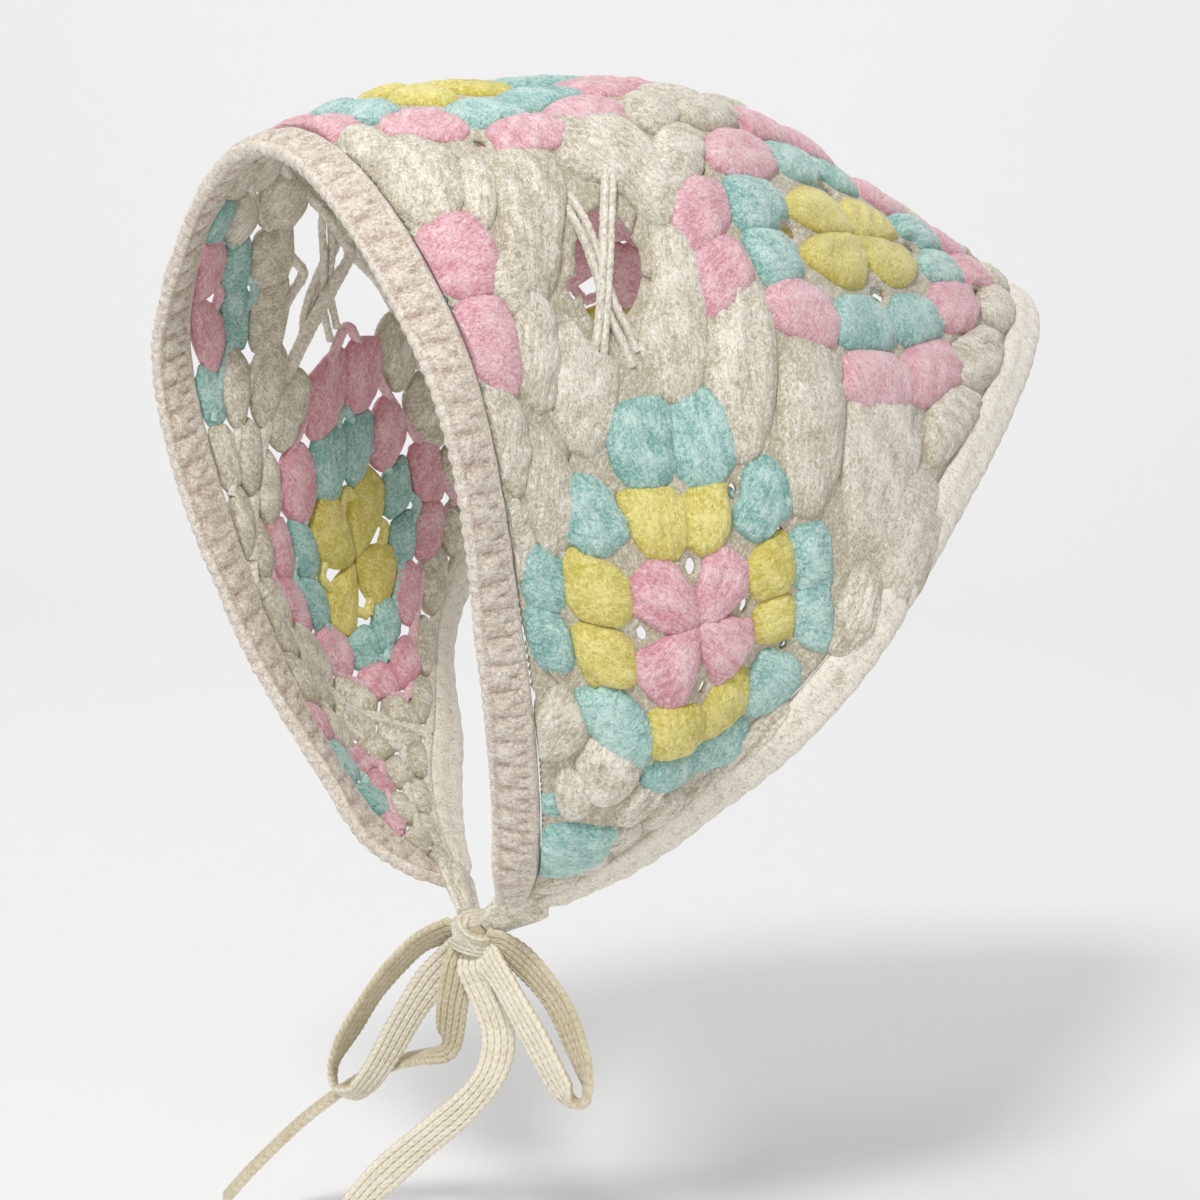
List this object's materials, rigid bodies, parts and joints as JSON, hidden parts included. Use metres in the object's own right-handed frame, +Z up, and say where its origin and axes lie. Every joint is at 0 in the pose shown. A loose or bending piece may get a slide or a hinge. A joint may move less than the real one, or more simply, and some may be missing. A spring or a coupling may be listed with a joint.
{
  "type": "crocheted bonnet",
  "caption": "Crocheted granny-square bonnet with a pointed back, a band round the face, a corded hem and flat ties in a bow under the chin.",
  "frame": {"origin": "where the crown's inner face rests on the top of the wearer's head, on the mid plane", "axes": "+Z up, -Y the way the face looks, +X the wearer's left"},
  "size_m": [0.188, 0.2645, 0.32],
  "materials": {
    "cream_yarn": "matte",
    "pink_yarn": "matte",
    "aqua_yarn": "matte",
    "yellow_yarn": "matte",
    "tie_yarn": "matte"
  },
  "bodies": {
    "root": {"square_crown": "cream_yarn", "square_side_left": "aqua_yarn", "square_side_right": "aqua_yarn", "square_back_left": "yellow_yarn", "square_back_right": "yellow_yarn", "half_temple_left": "pink_yarn", "half_temple_right": "pink_yarn", "half_chin_left": "aqua_yarn", "half_chin_right": "aqua_yarn", "front_band": "cream_yarn", "back_border": "cream_yarn", "corner_left": "tie_yarn", "corner_right": "tie_yarn", "bow_knot": "tie_yarn", "bow_loop_left": "tie_yarn", "bow_loop_right": "tie_yarn", "tie_tail_left": "tie_yarn", "tie_tail_right": "tie_yarn"}
  },
  "joints": []
}
